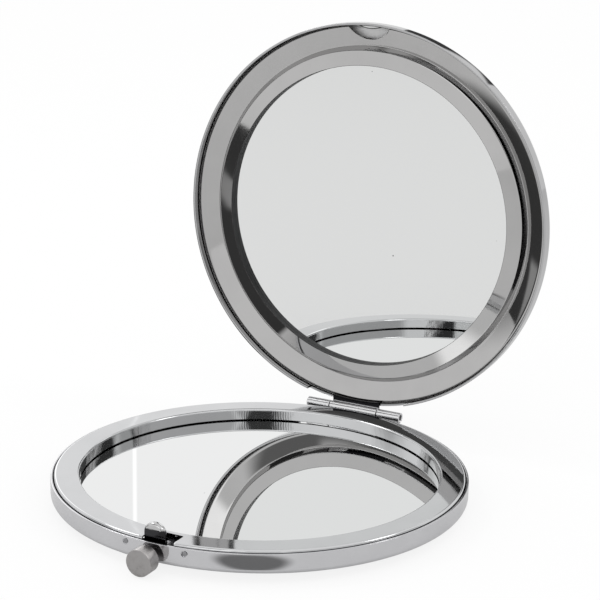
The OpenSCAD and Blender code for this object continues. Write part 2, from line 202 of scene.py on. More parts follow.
def pick(piece, kind, wanted):
    """Selects the faces or edges whose corners make wanted say yes, and opens edit mode."""
    on_mesh(piece, "DESELECT", lambda: bpy.ops.mesh.select_mode(type=kind))
    for part in piece.data.polygons if kind == "FACE" else piece.data.edges:
        part.select = wanted(*(piece.data.vertices[i].co for i in part.vertices))
    bpy.ops.object.mode_set(mode="EDIT")


def close_up(piece, operation):
    """Closes the open edges with a face or a bridge, and turns all faces outwards."""
    on_mesh(piece, "DESELECT", bpy.ops.mesh.select_non_manifold, operation)
    on_mesh(piece, "SELECT", bpy.ops.mesh.normals_make_consistent)


# %% Helpers for turning
def turn(name, outline, fill_last=False):
    """Turns an outline about Z, as a surface open at both ends or filled at the last one."""
    radius, height = outline[0]
    bpy.ops.mesh.primitive_circle_add(vertices=round_steps, radius=radius, location=(0, 0, height))
    piece = named(bake_place(), name)
    bpy.ops.object.mode_set(mode="EDIT")
    bpy.ops.mesh.select_all(action="SELECT")
    for (r0, z0), (r1, z1) in zip(outline, outline[1:]):
        bpy.ops.mesh.extrude_region_move(TRANSFORM_OT_translate={"value": (0, 0, z1 - z0)})
        bpy.ops.transform.resize(value=(r1 / r0, r1 / r0, 1), center_override=(0, 0, z1))
    if fill_last:
        bpy.ops.mesh.edge_face_add()
    bpy.ops.object.mode_set(mode="OBJECT")
    return piece


def face_away(piece, radius, height):
    """Turns the faces away from a ring of that radius and height inside the section."""
    outward = 0
    for face in piece.data.polygons:
        out = Vector((face.center.x, face.center.y, 0))
        lean = face.normal.dot(out.normalized()) if out.length > 0 else 0
        outward += lean * (out.length - radius) + face.normal.z * (face.center.z - height)
    if outward < 0:
        on_mesh(piece, "SELECT", bpy.ops.mesh.flip_normals)


# %% Helpers for modifiers and cuts
def apply_modifier(piece, kind, **settings):
    """Adds a modifier with its settings and applies it."""
    only(piece)
    bpy.ops.object.modifier_add(type=kind)
    modifier = piece.modifiers[-1]
    for name, value in settings.items():
        setattr(modifier, name, value)
    bpy.ops.object.modifier_apply(modifier=modifier.name)


def thicken(piece, thickness):
    """Gives a surface its thickness, behind the side that its faces look to."""
    apply_modifier(piece, "SOLIDIFY", thickness=thickness, offset=-1, use_even_offset=True)


def soften(piece, width, segments=3, angle=50):
    """Rounds the sharp edges."""
    apply_modifier(
        piece,
        "BEVEL",
        width=width,
        segments=segments,
        limit_method="ANGLE",
        angle_limit=math.radians(angle),
    )


def box_tool(x, y, z):
    """A block between two places on each axis, to cut with."""
    middle = [(low + high) / 2 for low, high in (x, y, z)]
    size = [high - low for low, high in (x, y, z)]
    bpy.ops.mesh.primitive_cube_add(size=1, location=middle, scale=size)
    return bake_place()


def rod(radius, length, middle, sides=round_steps, rotation=(0, 0, 0)):
    """A solid round bar along Z, or turned from there, as a blank or to cut with."""
    bpy.ops.mesh.primitive_cylinder_add(
        vertices=sides, radius=radius, depth=length, location=middle, rotation=rotation
    )
    return bake_place()


def drill(radius, start, depth):
    """A round bar along Y from a place, to cut with."""
    middle = Vector(start) + Vector((0, depth / 2, 0))
    return rod(radius, depth, middle, 64, (math.pi / 2, 0, 0))


def cut(piece, tool, operation="DIFFERENCE"):
    """Cuts a piece with a tool, or keeps what they share, and puts the tool away."""
    apply_modifier(piece, "BOOLEAN", object=tool, operation=operation, solver="EXACT")
    bpy.data.objects.remove(tool)


# %% Helpers to finish a piece
sharp_from = math.radians(35)
opened = (
    Matrix.Translation(hinge)
    @ Matrix.Rotation(math.radians(-lid_open), 4, "X")
    @ Matrix.Translation(-hinge)
)


def place(piece, matrix):
    """Moves a piece's mesh, and leaves its object at the origin."""
    only(piece)
    piece.matrix_world = matrix
    bake_place()


def laid_down(x, y, z):
    """Lays a piece that stands on the origin along Y, with its foot at a place."""
    return Matrix.Translation((x, y, z)) @ Matrix.Rotation(-math.pi / 2, 4, "X")


def settle(piece, body, slot, *stands_for):
    """Shades a finished piece smooth, lets it ride on its body and stand for its nodes.

    Sharp edges stay sharp, and flat faces look flat right up to their rounding.
    """
    only(piece)
    bpy.ops.object.shade_smooth_by_angle(angle=sharp_from)
    apply_modifier(piece, "WEIGHTED_NORMAL", keep_sharp=True)
    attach(piece, body)
    if stands_for:
        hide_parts(*stands_for)
    print(f"{piece.name}: {len(piece.data.polygons)} faces, rides on {body}")


# %% [markdown]
# ## Drawn cups
# The base and the lid are cups drawn from one sheet: a flat middle, a low dome, a rounded corner
# and a straight wall. Only the outside is turned, from the rim to the flat middle, and the sheet
# grows inwards from it. The rim's two edges are rounded, so that each catches a line of light.


# %% Outline of a drawn cup
side_steps = 10
dome_steps = 14
rim_round = 0.09 * mm


def cup_outline(height, land_r, dome, corner_r):
    """Outside of a cup that stands on its flat middle, from its rim inwards."""
    corner_x = case_r - corner_r
    corner_z = dome + corner_r
    run = corner_x - land_r
    bend = (run**2 + corner_z**2 - corner_r**2) / (2 * dome)
    tilt = math.degrees(math.atan2(run, bend - corner_z))
    edge = [(case_r, height)]
    side = arc((corner_x, corner_z), corner_r, 0, tilt - 90, side_steps)
    under = arc((land_r, bend), bend, tilt - 90, -90, dome_steps)
    return edge + side + under[1:]


def cup(name, height, land_r, dome, corner_r):
    """A cup with its sheet's thickness and a rounded rim."""
    piece = turn(name, cup_outline(height, land_r, dome, corner_r), fill_last=True)
    face_away(piece, 0, height)
    thicken(piece, sheet_t)
    soften(piece, rim_round)
    return piece


# %% Shell of the base
button_z = 2.5 * mm
stem_hole_r = 0.58 * mm
rivet_z = base_h - 0.85 * mm
rivet_places = (-4.5 * mm, 5.9 * mm)
rivet_head_r = 0.4 * mm
rivet_seat_r = 0.56 * mm
rivet_seat_depth = 0.18 * mm
rivet_shank_r = 0.33 * mm


def wall_y(x):
    """Front face of the case wall at x."""
    return -math.sqrt(case_r**2 - x**2)


base_flat_r = 24 * mm
base_dome = 1.47 * mm
base_corner_r = 0.8 * mm
base_case = cup("base_case", base_h, base_flat_r, base_dome, base_corner_r)
notch_x = (-notch_w / 2, notch_w / 2)
cut(base_case, box_tool(notch_x, (0, case_r + mm), (hinge.z - notch_half_h, base_h + mm)))
cut(base_case, drill(stem_hole_r, (0, -case_r - mm, button_z), 3 * mm))
for x in rivet_places:
    seat_depth = mm + case_r + wall_y(x) + rivet_seat_depth
    cut(base_case, drill(rivet_seat_r, (x, -case_r - mm, rivet_z), seat_depth))
settle(base_case, "base", "case_metal", "base_shell")

# %% Shell of the lid
lid_flip = Matrix.Translation((0, 0, lid_z + lid_h)) @ Matrix.Rotation(math.pi, 4, "X")
lid_flat_r = 16 * mm
lid_dome = 1.3 * mm
lid_corner_r = 1.55 * mm
lid_case = cup("lid_case", lid_h, lid_flat_r, lid_dome, lid_corner_r)
place(lid_case, lid_flip)
cut(lid_case, box_tool(notch_x, (0, case_r + mm), (lid_z - mm, hinge.z + notch_half_h)))
place(lid_case, opened)
settle(lid_case, "lid", "case_metal", "lid_shell")

# %% [markdown]
# ## Pressed rings
# A thin pressed ring holds each mirror. The base's ring is a plain channel: an inner wall down
# to the glass, a flat flange with a rounded bead at both edges, and a skirt that hides inside the
# case. The lid's ring steps back twice: a dished flange, then a raised ring round the glass. The
# wall at the glass stops a hair above it, which leaves the thin dark line seen round a mirror
# whose silver lies on the back of the glass.

# %% Ring of the base
bezel_t = 0.3 * mm
edge_r = 0.4 * mm
glass_line = 0.24 * mm
skirt_z = 2.6 * mm
pressed_edge = 0.05 * mm
base_ring = turn(
    "base_ring",
    rounded(
        [
            (recess_r, base_glass_high.z + glass_line, 0),
            (recess_r, flange_top, edge_r),
            (bezel_r, flange_top, edge_r),
            (bezel_r, skirt_z, 0),
        ]
    ),
)
face_away(base_ring, (recess_r + bezel_r) / 2, base_h / 2)
thicken(base_ring, bezel_t)
slot_x = (-1.75 * mm, 3.85 * mm)
slot_back = -31.2 * mm
cut(base_ring, box_tool(slot_x, (-case_r, slot_back), (0, flange_top + mm)))
under_bead = flange_top - edge_r - bezel_t / 2
latch_room_x = (-6.1 * mm, 7.5 * mm)
latch_room_back = -31.4 * mm
cut(base_ring, box_tool(latch_room_x, (-case_r, latch_room_back), (0, under_bead)))
cut(base_ring, box_tool(notch_x, (recess_r + 0.6 * mm, case_r), (0, under_bead)))
soften(base_ring, pressed_edge, segments=2)
settle(base_ring, "base", "base_bezel_metal", "base_bezel")

# %% Ring of the lid
foot_r = wall_in - 3.8 * mm
ring_r = foot_r - 0.8 * mm
hole_r = ring_r - 2.6 * mm
flange_depth = 1.35 * mm
foot_depth = 2.72 * mm
skirt_depth = 2.3 * mm
lip_depth = 1.2 * mm
ring_depth = 1.7 * mm
lid_bezel_t = 0.25 * mm
lid_edge_r = 0.3 * mm
dish_steps = 10


def dish(share):
    """Depth of the lid's flange at a share of the way from its edge to the raised ring."""
    return flange_depth + (foot_depth - flange_depth) * (0.95 * share + 0.05 * share**2)


flange_points = [
    (foot_r + (bezel_r - foot_r) * step / dish_steps, dish(1 - step / dish_steps), 0)
    for step in range(1, dish_steps - 1)
]
ring_path = (
    [
        (hole_r + 0.03 * mm, lip_depth, 0),
        (ring_r, ring_depth, lid_edge_r),
        (foot_r, foot_depth, 0.12 * mm),
    ]
    + flange_points
    + [(bezel_r, flange_depth, lid_edge_r), (bezel_r, skirt_depth, 0)]
)
lid_ring = turn("lid_ring", [(r, lid_z + depth) for r, depth in rounded(ring_path)])
face_away(lid_ring, foot_r, lid_z + 3.4 * mm)
thicken(lid_ring, lid_bezel_t)
mouth_r = 4.8 * mm
mouth_x = -0.5 * mm
mouth_y = -(case_r - 3.1 * mm) - mouth_r
cut(lid_ring, rod(mouth_r, 8 * mm, (mouth_x, mouth_y, lid_z + 2 * mm), 96))
leaf_gap = middle_l / 2 + 0.15 * mm
leaf_room = box_tool((-leaf_gap, leaf_gap), (0, case_r), (lid_z, lid_z + 2.2 * mm))
cut(leaf_room, rod(bezel_r - 0.3 * mm, 9 * mm, (0, 0, lid_z)))
cut(lid_ring, leaf_room)
soften(lid_ring, pressed_edge, segments=2)
place(lid_ring, opened)
settle(lid_ring, "lid", "lid_bezel_metal", "lid_bezel")

# %% [markdown]
# ## Black band of painted shade in the lid
# Round the lid's glass the ring's edge stands free, and the shade under it is deep black. A soft
# black band, which the glass is pressed against, stands there as painted shade. It is a plain
# turned band, set back a little.

# %% Band of painted shade in the lid
lid_glass_depth = 2.3 * mm
# The band stands for the deep shade under the ring's edge.
shade_band_in = hole_r - 0.03 * mm
shade_band_out = shade_band_in + 0.9 * mm
shade_band_top = 1.22 * mm
shade_band_edge = 0.06 * mm
lip_out = shade_band_in + 0.055 * mm
shade_band_path = rounded(
    [
        (lip_out, shade_band_top, 0),
        (shade_band_in, shade_band_top, 0.02 * mm),
        (shade_band_in, lid_glass_depth, shade_band_edge),
        (shade_band_out, lid_glass_depth, shade_band_edge),
        (shade_band_out, 1.68 * mm, shade_band_edge),
        (lip_out, 1.52 * mm, 0),
    ]
)
shade_band = turn("lid_shade_band", [(r, lid_z + depth) for r, depth in shade_band_path])
close_up(shade_band, bpy.ops.mesh.bridge_edge_loops)
place(shade_band, opened)
settle(shade_band, "lid", "foam")

# %% [markdown]
# ## Mirrors and pads
# Each mirror is a disc of thin glass with ground edges. A disc of foam behind it presses it
# against its ring. The pads are never seen, but they are real parts, so they get a soft edge.


# %% Glass and foam discs
closed = opened.inverted()


def heights_when_shut(node):
    """The lowest and highest point of a node of the lid, as if the lid were shut."""
    heights = [(closed @ vertex.co).z for vertex in frame["nodes"][node].data.vertices]
    return min(heights), max(heights)


def disc(name, node, slot, edge, segments):
    """A disc in the place of a node of the base, or of the lid, which is made shut."""
    body = name.split("_")[0]
    low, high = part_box(node)
    radius = (high.x - low.x) / 2
    low_z, high_z = heights_when_shut(node) if body == "lid" else (low.z, high.z)
    piece = named(rod(radius, high_z - low_z, (0, 0, (low_z + high_z) / 2)), name)
    soften(piece, edge, segments)
    if body == "lid":
        place(piece, opened)
    settle(piece, body, slot, node)
    return piece


ground_edge = 0.08 * mm
base_glass = disc("base_glass", "base_mirror", "mirror_glass", ground_edge, 2)
lid_glass = disc("lid_glass", "lid_mirror", "mirror_glass", ground_edge, 2)
soft_edge = 0.25 * mm
base_foam = disc("base_foam", "base_pad", "foam", soft_edge, 5)
lid_foam = disc("lid_foam", "lid_pad", "foam", soft_edge, 5)

# %% [markdown]
# ## Catch of the lid
# The hook snaps under a small ledge at the top of the lid. The ledge is the lens that a small
# round and the wall's inside have in common, so one disc is cut by the other. Its edges are
# rounded well, because the hook slides over them. On the real piece, solder holds it to the wall.

# %% Ledge
catch_low, catch_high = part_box("lid_catch")
catch_half_w = (catch_high.x - catch_low.x) / 2
catch_z = heights_when_shut("lid_catch")[0]
catch_t = 0.5 * mm
catch_reach = 0.65 * mm
catch_y = -(wall_in - catch_reach)
sag = catch_reach - wall_in + math.sqrt(wall_in**2 - catch_half_w**2)
bow_r = (catch_half_w**2 + sag**2) / (2 * sag)
catch = named(rod(bow_r, catch_t, (0, catch_y - bow_r, catch_z + catch_t / 2), 192), "catch")
inside_wall = rod(wall_in - 0.01 * mm, 20 * mm, (0, 0, catch_z), 4 * round_steps)
cut(catch, inside_wall, "INTERSECT")
soften(catch, 0.2 * mm, 5, angle=40)
place(catch, opened)
settle(catch, "lid", "lid_bezel_metal", "lid_catch")

# %% [markdown]
# ## Hinge
# A leaf is a strip of sheet whose end is rolled round the pin. It starts as a flat plate, and
# the face at its end is spun round the pin's axis, nearly a full turn. A thin gap is left where
# the rolled edge comes back to the plate. The other end is trimmed to the round of the wall, and
# a curved strip lies against the wall's inside.


# %% Rolled leaves
leaf_t = 0.3 * mm
leaf_wall_r = wall_in - 0.01 * mm
knuckle_gap = 0.18 * mm
strip_h = 1.3 * mm
curl = 328
curl_steps = 44


def rolled(name, x0, x1, side):
    """One knuckle with its plate: side is -1 under the pin and 1 over it."""
    outer = hinge.z + side * knuckle_r
    inner = outer - side * leaf_t
    piece = box_tool((x0, x1), (wall_in - 4 * mm, hinge.y), sorted((outer, inner)))
    pick(named(piece, name), "FACE", lambda *corners: min(c.y for c in corners) > hinge.y - tiny)
    sweep = math.radians(-side * curl)
    bpy.ops.mesh.spin(steps=curl_steps, angle=sweep, center=hinge, axis=(1, 0, 0))
    bpy.ops.mesh.select_mode(type="VERT")
    bpy.ops.object.mode_set(mode="OBJECT")
    cut(piece, rod(leaf_wall_r - leaf_t, 20 * mm, (0, 0, hinge.z)))
    soften(piece, 0.06 * mm, 3)
    return piece


def wall_strip(x0, x1, z0, z1):
    """A curved strip against the inside of the wall."""
    piece = turn("strip", [(leaf_wall_r, z1), (leaf_wall_r, z0)])
    face_away(piece, 0, (z0 + z1) / 2)
    thicken(piece, leaf_t)
    cut(piece, box_tool((x0, x1), (0, case_r), (z0 - mm, z1 + mm)), "INTERSECT")
    soften(piece, 0.04 * mm, 2)
    return piece


def join(name, pieces):
    """Makes one object of several."""
    only(pieces[0])
    for piece in pieces[1:]:
        piece.select_set(True)
    bpy.ops.object.join()
    return named(pieces[0], name)


outer_l = (hinge_l - middle_l) / 2 - knuckle_gap
base_plate_top = hinge.z - knuckle_r + leaf_t
base_leaf = join(
    "base_leaf",
    [
        rolled("left", -hinge_l / 2, -hinge_l / 2 + outer_l, -1),
        rolled("right", hinge_l / 2 - outer_l, hinge_l / 2, -1),
        wall_strip(-hinge_l / 2, hinge_l / 2, base_plate_top - strip_h, base_plate_top),
    ],
)
settle(base_leaf, "base", "hinge_metal", "base_hinge_leaf")
lid_plate_low = hinge.z + knuckle_r - leaf_t
lid_leaf = join(
    "lid_leaf",
    [
        rolled("middle", -middle_l / 2, middle_l / 2, 1),
        wall_strip(-middle_l / 2, middle_l / 2, lid_plate_low, lid_plate_low + strip_h),
    ],
)
place(lid_leaf, opened)
settle(lid_leaf, "lid", "hinge_metal", "lid_hinge_leaf")

# %% [markdown]
# The pin goes through all three knuckles, and its ends are rounded over. They lie a little
# inside the outer knuckles, so the hinge shows a hollow end with the pin in it.

# %% Hinge pin
pin_low, pin_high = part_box("hinge_pin")
pin_r = (pin_high.z - pin_low.z) / 2
pin_l = pin_high.x - pin_low.x
along_x = (0, math.pi / 2, 0)
hinge_pin = named(rod(pin_r, pin_l, (pin_low + pin_high) / 2, 48, along_x), "pin")
soften(hinge_pin, 0.2 * mm, 5)
settle(hinge_pin, "base", "pin_steel", "hinge_pin")

# %% [markdown]
# ## Push button
# The button is a turned pin: a flat face with a softly broken edge, a straight side, and a thin
# stem that goes through the wall and is peened over behind the hook. It is turned about Z and
# then laid down, so that its face looks to the front.

# %% Button and stem
button_low, button_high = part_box("push_button")
button_r = (button_high.x - button_low.x) / 2
button_edge = 0.14 * mm
button_l = 2.5 * mm
stem_l = button_high.y - button_low.y
stem_r = 0.5 * mm
neck_r = 0.35 * mm
neck_start = stem_l - 0.9 * mm
button_outline = (
    [(0.4 * button_r, 0), (0.8 * button_r, 0)]
    + arc((button_r - button_edge, button_edge), button_edge, -90, 0, 6)
    + arc((button_r - button_edge, button_l - button_edge), button_edge, 0, 90, 6)
    + [
        (stem_r, button_l),
        (stem_r, neck_start),
        (neck_r, neck_start),
        (neck_r, stem_l - 0.15 * mm),
        (stem_r, stem_l - 0.13 * mm),
        (stem_r, stem_l - 0.06 * mm),
        (0.4 * mm, stem_l),
    ]
)
button = turn("button", button_outline, fill_last=True)
close_up(button, bpy.ops.mesh.edge_face_add)
place(button, laid_down(0, button_low.y, button_z))
settle(button, "button", "button_metal", "push_button")

# %% [markdown]
# ## Latch hook
# The hook is a flat tab that stands in its slot, with a head that reaches to the front. It starts
# as a block whose top is rounded to a half circle. Below the head, the front is cut away to the
# thickness of the tab. Then the head's front edge is rounded to a dome, and the edge behind is
# eased, because it passes close to the lid's opening.

# %% Block of the hook
hook_low, hook_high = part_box("latch_hook")
hook_t = 0.6 * mm
nose_z = base_h + 1.9 * mm
nose_out = 0.55 * mm
hook_x0, hook_x1 = hook_low.x, hook_high.x
hook_half = (hook_x1 - hook_x0) / 2
hook_back = hook_high.y
hook_front = hook_back - hook_t
nose_y = hook_front - nose_out
block = box_tool((hook_x0, hook_x1), (nose_y, hook_back), (hook_low.z, hook_high.z))
hook = named(block, "hook")


# %% Rounding of the hook
def round_edges(piece, wanted, width, segments):
    """Rounds the edges whose two ends make wanted say yes."""
    pick(piece, "EDGE", wanted)
    bpy.ops.mesh.bevel(offset=width, segments=segments, affect="EDGES")
    bpy.ops.object.mode_set(mode="OBJECT")


def top_corner(a, b):
    """Edges along Y at the two upper corners."""
    along_y = abs(a.x - b.x) < tiny and abs(a.z - b.z) < tiny
    return along_y and min(a.z, b.z) > hook_high.z - tiny


def nose_front(a, b):
    """Edges round the front of the head."""
    return max(a.y, b.y) < nose_y + tiny and max(a.z, b.z) > nose_z + tiny


def head_back(a, b):
    """Edges round the back of the head."""
    return min(a.y, b.y) > hook_back - tiny and min(a.z, b.z) > nose_z - hook_half


round_edges(hook, top_corner, 0.98 * hook_half, 14)
under_nose_y = (nose_y - mm, hook_front)
cut(hook, box_tool((hook_x0 - mm, hook_x1 + mm), under_nose_y, (hook_low.z - mm, nose_z)))
round_edges(hook, nose_front, 0.5 * mm, 9)
round_edges(hook, head_back, 0.3 * mm, 5)
soften(hook, pressed_edge, 2)
settle(hook, "button", "hook_metal", "latch_hook")

# %% [markdown]
# ## Springs and rivets
# Two small coil springs push the hook back. A coil is a ring of wire swept along a helix by the
# Screw modifier. The two rivets that hold the guide have flush heads, each in a seat that leaves a
# fine dark groove round it.

# %% Springs
spring_low, spring_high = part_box("latch_springs")
wire_r = 0.12 * mm
coil_r = (spring_high.z - spring_low.z) / 2 - wire_r
spring_l = spring_high.y - spring_low.y
spring_turns = 5
spring_z = (spring_low.z + spring_high.z) / 2
spring_places = (spring_low.x + coil_r + wire_r, spring_high.x - coil_r - wire_r)


def spring(x):
    """A coil along Y."""
    bpy.ops.mesh.primitive_circle_add(
        vertices=10, radius=wire_r, location=(coil_r, 0, 0), rotation=(math.pi / 2, 0, 0)
    )
    piece = bake_place()
    apply_modifier(
        piece,
        "SCREW",
        angle=math.tau * spring_turns,
        screw_offset=spring_l - 2 * wire_r,
        steps=20 * spring_turns,
        render_steps=20 * spring_turns,
        axis="Z",
    )
    close_up(piece, bpy.ops.mesh.edge_face_add)
    place(piece, laid_down(x, spring_low.y + wire_r, spring_z))
    return piece


springs = join("springs", [spring(x) for x in spring_places])
settle(springs, "base", "spring_steel", "latch_springs")
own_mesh(springs)


# %% Rivets
def rivet(x):
    """A rivet whose low head lies in its seat and whose closed end lies behind the guide."""
    head_t = rivet_seat_depth - 0.02 * mm
    rise = 0.03 * mm
    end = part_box("latch_rivets")[1].y - wall_y(x)
    outline = [
        (0.5 * rivet_head_r, -rise),
        (0.8 * rivet_head_r, -0.6 * rise),
        (rivet_head_r, 0.02 * mm),
        (rivet_head_r, head_t),
        (rivet_shank_r, head_t),
        (rivet_shank_r, end - 0.2 * mm),
        (0.42 * mm, end - 0.15 * mm),
        (0.35 * mm, end),
    ]
    piece = turn("rivet", outline, fill_last=True)
    close_up(piece, bpy.ops.mesh.edge_face_add)
    place(piece, laid_down(x, wall_y(x), rivet_z))
    return piece


rivets = join("rivets", [rivet(x) for x in rivet_places])
settle(rivets, "base", "rivet_metal", "latch_rivets")

# %% [markdown]
# ## Writing shader nodes as sums
# A finish is a small sum of patterns. To keep it readable, one class wraps a socket so that
# numbers and patterns can be added and multiplied, and one function adds any other node.


# %% Sockets as values
class Value:
    """A socket of a node tree that can be used in sums."""

    def __init__(self, tree, socket):
        self.tree = tree
        self.socket = socket

    def __add__(self, other):
        return math_node(self.tree, "ADD", self, other)

    def __sub__(self, other):
        return math_node(self.tree, "SUBTRACT", self, other)

    def __rsub__(self, other):
        return math_node(self.tree, "SUBTRACT", other, self)

    def __mul__(self, other):
        return math_node(self.tree, "MULTIPLY", self, other)

    def __truediv__(self, other):
        return math_node(self.tree, "DIVIDE", self, other)

    __radd__ = __add__
    __rmul__ = __mul__


def connect(tree, socket, value):
    """Links a value to a socket, or writes a plain number or colour there."""
    if isinstance(value, Value):
        tree.links.new(value.socket, socket)
    else:
        socket.default_value = value


def add_node(tree, kind, inputs, output=0, **settings):
    """Adds a shader node, with its settings first and then its inputs."""
    made = tree.nodes.new("ShaderNode" + kind)
    for name, setting in settings.items():
        setattr(made, name, setting)
    for name, value in inputs.items():
        connect(tree, made.inputs[name], value)
    return Value(tree, made.outputs[output])


def math_node(tree, operation, *values):
    """Adds a Math node."""
    return add_node(tree, "Math", dict(enumerate(values)), operation=operation)


def larger(first, second):
    """The larger of two values."""
    return math_node(first.tree, "MAXIMUM", first, second)


def span(across, along):
    """How far a place lies from a point, from its distances both ways."""
    return math_node(across.tree, "SQRT", across * across + along * along)


def fade(value, start, end):
    """Runs smoothly from 0 to 1 while the value goes from start to end."""
    inputs = {0: value, 1: start, 2: end}
    return add_node(value.tree, "MapRange", inputs, interpolation_type="SMOOTHSTEP")


def tint(factor, first, second):
    """Goes from the first colour to the second as the factor goes from 0 to 1."""
    first, second = ((*c, 1) if isinstance(c, tuple) else c for c in (first, second))
    inputs = {0: factor, 6: first, 7: second}
    return add_node(factor.tree, "Mix", inputs, 2, data_type="RGBA")


def times(first, second):
    """Multiplies two colours."""
    inputs = {0: 1.0, 6: first, 7: second}
    return add_node(first.tree, "Mix", inputs, 2, data_type="RGBA", blend_type="MULTIPLY")


# %% Patterns in millimetres
def place_in_mm(tree, **moved):
    """The place on the piece in millimetres, turned and moved if that is given."""
    place_on = add_node(tree, "TexCoord", {}, "Object")
    inputs = {"Vector": place_on, "Scale": (1 / mm, 1 / mm, 1 / mm), **moved}
    return add_node(tree, "Mapping", inputs)


def new_finish(name):
    """A material, and the place on the piece in millimetres."""
    material = bpy.data.materials.new(name)
    material.use_nodes = True
    return material, place_in_mm(material.node_tree)


def cloud(where, size, detail=3.0, roughness=0.5, stretch=(1, 1, 1)):
    """Soft noise whose blots are about that many millimetres wide."""
    if stretch != (1, 1, 1):
        where = add_node(where.tree, "Mapping", {"Vector": where, "Scale": stretch})
    inputs = {"Vector": where, "Scale": 1 / size, "Detail": detail, "Roughness": roughness}
    return add_node(where.tree, "TexNoise", inputs)


def cells(where, size):
    """Distance to the nearest of many scattered points that lie about a size apart."""
    inputs = {"Vector": where, "Scale": 1 / size}
    return add_node(where.tree, "TexVoronoi", inputs)


def axis_values(where):
    """The three parts of a place."""
    split = add_node(where.tree, "SeparateXYZ", {"Vector": where})
    outputs = split.socket.node.outputs
    return [Value(where.tree, outputs[axis]) for axis in ("X", "Y", "Z")]


def bump(height, depth, normal=None):
    """Relief whose height runs from 0 to 1 over a depth in metres."""
    inputs = {"Height": height, "Distance": depth, "Strength": 1.0}
    if normal is not None:
        inputs["Normal"] = normal
    return add_node(height.tree, "Bump", inputs)


def shader_set(material, **inputs):
    """Sets inputs of the material's shader, given with _ for each space."""
    tree = material.node_tree
    shader = tree.nodes["Principled BSDF"]
    for name, value in inputs.items():
        connect(tree, shader.inputs[name.replace("_", " ")], value)


def so_far(material, name):
    """What feeds an input of the material's shader until now."""
    tree = material.node_tree
    return Value(tree, tree.nodes["Principled BSDF"].inputs[name].links[0].from_socket)


def darken(material, share):
    """Multiplies the material's colour by a darker one."""
    shader_set(material, Base_Color=times(so_far(material, "Base Color"), share))


def where_on(material):
    """The place on the piece in millimetres that the material's patterns use."""
    tree = material.node_tree
    return Value(tree, next(node for node in tree.nodes if node.type == "MAPPING").outputs[0])


# %% [markdown]
# ## Polished nickel
# Nickel plate on pressed sheet is bright and nearly neutral, and never quite even. It has a
# soft haze from handling, fine wiping marks that show in its gloss, and the faint waves that
# the press and the buffing wheel leave in the surface, which bend its reflections. The hook is
# bright on its nose only: its neck under the nose is painted dark, as the shade under the nose.


# %% Polished plate
def polished(name, colour, roughness=0.05, wave=9e-6, wave_size=9.0):
    """Bright plate with haze, wiping marks and buffing waves."""
    material, where = new_finish(name)
    haze = cloud(where, 11, detail=4.0, roughness=0.6)
    marks = cloud(where, 0.5, detail=5.0, roughness=0.7, stretch=(0.12, 1, 1))
    shade = fade(haze, 0.3, 0.72)
    dimmed = tuple(0.94 * c for c in colour)
    gloss = roughness * (0.55 + 0.9 * shade) + 0.05 * fade(marks, 0.55, 0.8)
    waves = bump(cloud(where, wave_size, detail=1.0), wave)
    fine = bump(cloud(where, 0.28, detail=2.0), 1.5e-7, normal=waves)
    shader_set(
        material,
        Base_Color=tint(shade, colour, dimmed),
        Metallic=1.0,
        Roughness=gloss,
        Normal=fine,
    )
    return material


case_plate = polished("case_plate", (0.64, 0.64, 0.655), wave=1.4e-5, wave_size=7.0)
# The lid's case and ring are darker copies of the same nickel plate: painted shade for the upright
# lid.
shaded_lid_case_plate = polished("shaded_lid_case_plate", (0.49, 0.49, 0.495), wave=1.4e-5, wave_size=7.0)
shaded_lid_ring_plate = polished("shaded_lid_ring_plate", (0.49, 0.486, 0.484))
hook_plate = polished("hook_plate", (0.6, 0.6, 0.6), roughness=0.07, wave_size=2.0)
rivet_plate = polished("rivet_plate", (0.3, 0.3, 0.31), roughness=0.12)
_, _, hook_up = axis_values(where_on(hook_plate))
# Painted shade: the hook's neck under its nose is darkened in the colour.
painted_shade_under_nose = fade(hook_up, nose_z / mm + 0.1, nose_z / mm - 0.3)
darken(hook_plate, tint(painted_shade_under_nose, (1, 1, 1), (0.08, 0.08, 0.085)))
print("plates:", case_plate.name, shaded_lid_case_plate.name, shaded_lid_ring_plate.name, hook_plate.name)

# %% [markdown]
# ## Inside of the lid's case
# Behind the ring, the case was never buffed. What shows of it through the opening at the catch
# is a matt, even grey. The seam round the ring is painted black, as the shade that falls in it.
# The place on the piece is turned back to the shut lid, where the inside is told from the outside
# by the distance from the middle of the rounded corner.

# %% Matt inside
def place_when_shut(tree):
    """The place on an open piece of the lid, as if the lid were shut, in millimetres."""
    return place_in_mm(tree, Rotation=closed.to_euler(), Location=closed.to_translation() / mm)


shut_x, shut_y, shut_z = axis_values(place_when_shut(shaded_lid_case_plate.node_tree))
lid_depth = shut_z - lid_z / mm
lid_out = span(shut_x, shut_y)
past_corner = larger(lid_out - (case_r - lid_corner_r) / mm, 0)
below_corner = larger(lid_depth - (lid_h - lid_dome - lid_corner_r) / mm, 0)
from_corner = span(past_corner, below_corner)
flange_at = flange_depth / mm
matt = fade(from_corner, lid_corner_r / mm - 0.13, lid_corner_r / mm - 0.23)
matt = matt * fade(lid_depth, flange_at, flange_at + 0.25)
matt = matt * fade(lid_out, case_r / mm - 0.1, case_r / mm - 0.2)
# Painted shade: the seam round the ring is made near black.
painted_shade_in_seam = fade(lid_out, case_r / mm - 0.22, case_r / mm - 0.32)
painted_shade_in_seam = painted_shade_in_seam * fade(lid_depth, flange_at - 0.5, flange_at - 0.25)
painted_shade_in_seam = painted_shade_in_seam * fade(lid_depth, flange_at + 0.25, flange_at)
inside = tint(matt, so_far(shaded_lid_case_plate, "Base Color"), (0.84, 0.84, 0.84))
shader_set(
    shaded_lid_case_plate,
    Base_Color=tint(painted_shade_in_seam, inside, (0.03, 0.03, 0.03)),
    Roughness=so_far(shaded_lid_case_plate, "Roughness") + 0.55 * matt,
)
